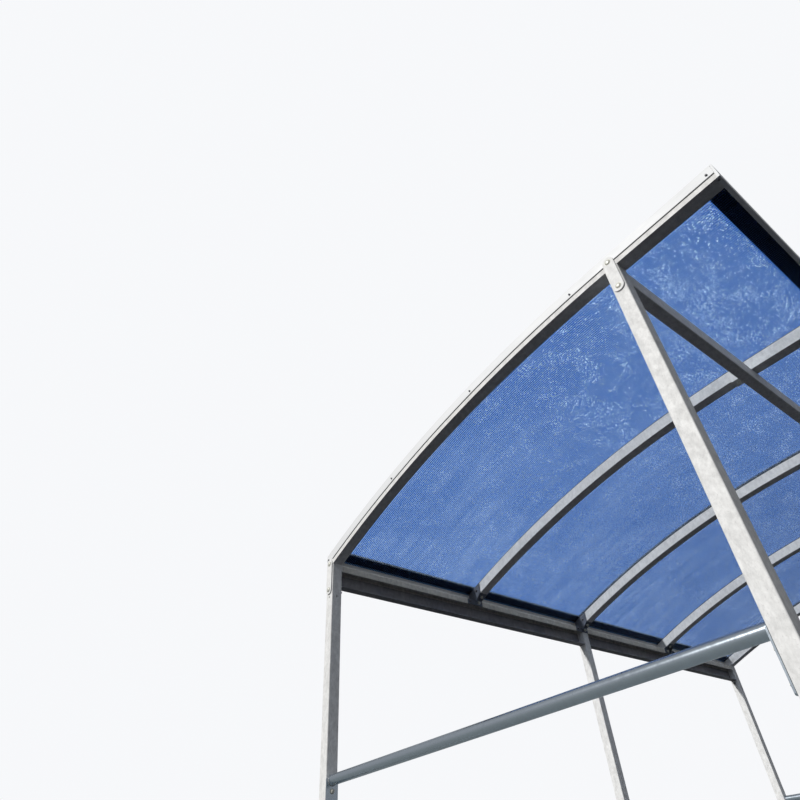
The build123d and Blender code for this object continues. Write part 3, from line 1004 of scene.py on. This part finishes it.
class SHELTER_OT_weld_seams(bpy.types.Operator):
    """Make the weld beads at the feet, the purlins, the eaves channels and the rails"""

    bl_idname = "shelter.weld_seams"
    bl_label = "Weld Seams"

    def execute(self, context):
        sizes = context.scene.shelter_fasteners
        lines = []
        tube_corner, purlin_corner = 0.005, 0.004
        for row in ROWS:
            for place in POST_PLACES:
                low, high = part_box(f"{row}_post_{place}")
                centre, half = (low + high) / 2, (high.x - low.x) / 2
                loop = rounded_loop(half, half, tube_corner)
                around = [(centre.x + x, centre.y + y) for x, y in loop]
                lines.append(([(x, y, low.z) for x, y in around], True))
                if place == "middle":
                    lines.append(([(x, y, Roof.height(-Roof.tube, y)) for x, y in around], True))
        for side in SIDES:
            low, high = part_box(f"front_purlin_{side}")
            centre, half = (low + high) / 2, (high - low) / 2
            for x in (low.x, high.x):
                around = rounded_loop(half.y, half.z, purlin_corner)
                lines.append(([(x, centre.y + y, centre.z + z) for y, z in around], True))
            low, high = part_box(f"eaves_channel_{side}")
            lip_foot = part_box(f"eaves_cleat_{side}")[0].z
            section = (
                (low.y, low.z), (high.y, low.z), (high.y, Roof.height(-Roof.tube, high.y)),
                (low.y, Roof.height(-Roof.tube, low.y)), (low.y, lip_foot))
            for x in (low.x, high.x):
                lines.append(([(x, y, z) for y, z in section], False))
            low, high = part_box(f"side_rail_{side}")
            radius = sizes.rail_radius
            x, z = (low.x + high.x) / 2, high.z - radius
            angles = [math.radians(angle) for angle in range(-200, 21, 10)]
            arc = [(x + radius * math.cos(a), z + radius * math.sin(a)) for a in angles]
            for y in (low.y + sizes.plate_thickness, high.y - sizes.plate_thickness):
                lines.append(([(x, y, z) for x, z in arc], False))
        mesh = grow(lines_mesh(lines, "weld_seams"), tree_named("weld_beads"), {
            "Radius": sizes.weld_radius, "Ripple": 1.8 * sizes.weld_radius,
            "Material": material_named("weld_zinc")}, "weld_seams")
        add_piece(mesh, "weld_seams", "plate_steel")
        return {"FINISHED"}


class SHELTER_OT_stage(bpy.types.Operator):
    """Set up the camera, the light and a pale floor"""

    bl_idname = "shelter.stage"
    bl_label = "Stage"

    def execute(self, context):
        scene = context.scene
        stage = scene.shelter_stage
        scene.view_settings.view_transform = "Standard"
        scene.cycles.transparent_max_bounces = 32

        optics = bpy.data.cameras.new("camera")
        optics.lens, optics.clip_start, optics.clip_end = stage.lens, 0.05, 1000
        optics.shift_x, optics.shift_y = stage.shift
        scene.camera = camera = new_object("camera", optics)
        camera.location, camera.rotation_euler = stage.camera_place, stage.camera_turn

        lamp = bpy.data.lights.new("main_light", "SUN")
        lamp.energy, lamp.angle = stage.sun_strength, math.radians(5)
        lamp.color = (1.0, 0.985, 0.96)
        turn = Vector(stage.sun_from).to_track_quat("Z", "Y").to_euler()
        new_object("main_light", lamp).rotation_euler = turn

        world = bpy.data.worlds.new("pale_backdrop")
        scene.world = world
        world.use_nodes = True
        tree = world.node_tree
        tree.nodes.clear()
        fill, backdrop = (
            add_node(tree, "Background", {"Color": colour, "Strength": strength})
            for colour, strength in (
                ((0.92, 0.95, 1.0), stage.sky_strength), ((0.93, 0.94, 0.96), 1.0)))
        rays = add_node(tree, "LightPath").node.outputs
        seen = calculate(tree, "MAXIMUM", rays["Is Camera Ray"], rays["Is Transmission Ray"])
        sky = mix_shaders(tree, seen, fill, backdrop)
        tree.links.new(sky, tree.nodes.new("ShaderNodeOutputWorld").inputs["Surface"])

        half = 300.0
        floor_mesh = bpy.data.meshes.new("floor")
        floor_mesh.from_pydata(
            [(-half, -half, 0), (half, -half, 0), (half, half, 0), (-half, half, 0)],
            [], [(0, 1, 2, 3)])
        floor = new_object("floor", floor_mesh)
        floor_mesh.materials.append(material_named("pale_floor"))
        return {"FINISHED"}


class SHELTER_PT_sizes(bpy.types.Panel):
    """Sizes and finishes of the bike shelter"""

    bl_label = "Bike Shelter"
    bl_idname = "SHELTER_PT_sizes"
    bl_space_type = "VIEW_3D"
    bl_region_type = "UI"
    bl_category = "Shelter"

    def draw(self, context):
        for name in GROUPS:
            group = getattr(context.scene, name)
            box = self.layout.box()
            for prop in group.bl_rna.properties:
                if prop.identifier not in {"rna_type", "name"}:
                    box.prop(group, prop.identifier)
        for operator in OPERATORS:
            self.layout.operator(operator.bl_idname)


GROUPS = {
    "shelter_roof": ShelterRoofSizes,
    "shelter_fasteners": ShelterFastenerSizes,
    "shelter_finishes": ShelterFinishes,
    "shelter_stage": ShelterStage,
}
OPERATORS = (
    SHELTER_OT_finish_frame,
    SHELTER_OT_twin_wall_sheets,
    SHELTER_OT_gable_seals,
    SHELTER_OT_eaves_brackets,
    SHELTER_OT_joint_bolts,
    SHELTER_OT_flashing_screws,
    SHELTER_OT_roof_screws,
    SHELTER_OT_cleat_bolts,
    SHELTER_OT_weld_seams,
    SHELTER_OT_stage,
)


def register():
    for name, group in GROUPS.items():
        bpy.utils.register_class(group)
        setattr(bpy.types.Scene, name, PointerProperty(type=group))
    for cls in (*OPERATORS, SHELTER_PT_sizes):
        bpy.utils.register_class(cls)


def unregister():
    for cls in (SHELTER_PT_sizes, *reversed(OPERATORS)):
        bpy.utils.unregister_class(cls)
    for name, group in GROUPS.items():
        delattr(bpy.types.Scene, name)
        bpy.utils.unregister_class(group)


def main():
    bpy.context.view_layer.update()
    register()
    bpy.ops.shelter.finish_frame()
    bpy.ops.shelter.twin_wall_sheets()
    bpy.ops.shelter.gable_seals()
    bpy.ops.shelter.eaves_brackets()
    bpy.ops.shelter.joint_bolts()
    bpy.ops.shelter.flashing_screws()
    bpy.ops.shelter.roof_screws()
    bpy.ops.shelter.cleat_bolts()
    bpy.ops.shelter.weld_seams()
    bpy.ops.shelter.stage()


if __name__ == "__main__":
    main()
